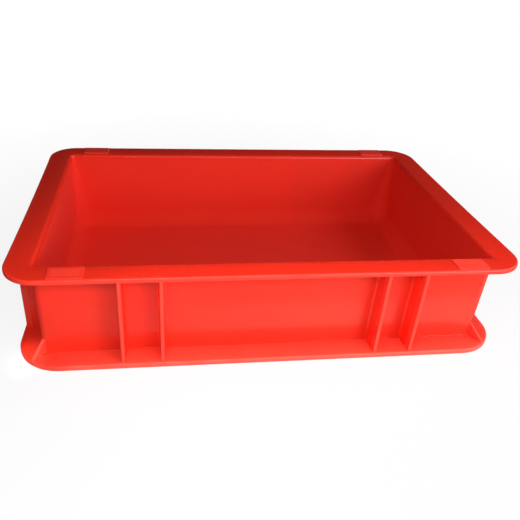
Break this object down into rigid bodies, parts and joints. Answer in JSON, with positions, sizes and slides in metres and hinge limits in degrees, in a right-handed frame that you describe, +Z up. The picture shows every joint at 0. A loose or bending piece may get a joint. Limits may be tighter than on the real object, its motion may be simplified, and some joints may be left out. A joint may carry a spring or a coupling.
{
  "type": "stacking box",
  "caption": "Open-topped moulded plastic stacking box with a flat rim flange, a matching base flange, upright ribs between them, corner gussets and low stacking pads.",
  "frame": {"origin": "middle of the underside, on the surface that the box stands on", "axes": "+X along the length to the right, +Y towards the rear long side, +Z up out of the open top"},
  "size_m": [0.503, 0.335, 0.105],
  "materials": {
    "moulded_shell": "glossy moulded",
    "stacking_pad": "satin moulded"
  },
  "bodies": {
    "root": {"cove_corners": "moulded_shell", "floor_panel": "moulded_shell", "front_base": "moulded_shell", "front_cove": "moulded_shell", "front_left_gusset": "moulded_shell", "front_left_pad": "stacking_pad", "front_rib_1": "moulded_shell", "front_rib_2": "moulded_shell", "front_rib_3": "moulded_shell", "front_rib_4": "moulded_shell", "front_right_gusset": "moulded_shell", "front_right_pad": "stacking_pad", "front_rim": "moulded_shell", "front_wall": "moulded_shell", "left_base": "moulded_shell", "left_cove": "moulded_shell", "left_rib_1": "moulded_shell", "left_rib_2": "moulded_shell", "left_rim": "moulded_shell", "left_wall": "moulded_shell", "rear_base": "moulded_shell", "rear_cove": "moulded_shell", "rear_left_gusset": "moulded_shell", "rear_left_pad": "stacking_pad", "rear_rib_1": "moulded_shell", "rear_rib_2": "moulded_shell", "rear_rib_3": "moulded_shell", "rear_rib_4": "moulded_shell", "rear_right_gusset": "moulded_shell", "rear_right_pad": "stacking_pad", "rear_rim": "moulded_shell", "rear_wall": "moulded_shell", "right_base": "moulded_shell", "right_cove": "moulded_shell", "right_rib_1": "moulded_shell", "right_rib_2": "moulded_shell", "right_rim": "moulded_shell", "right_wall": "moulded_shell", "wall_corners": "moulded_shell"}
  },
  "joints": []
}
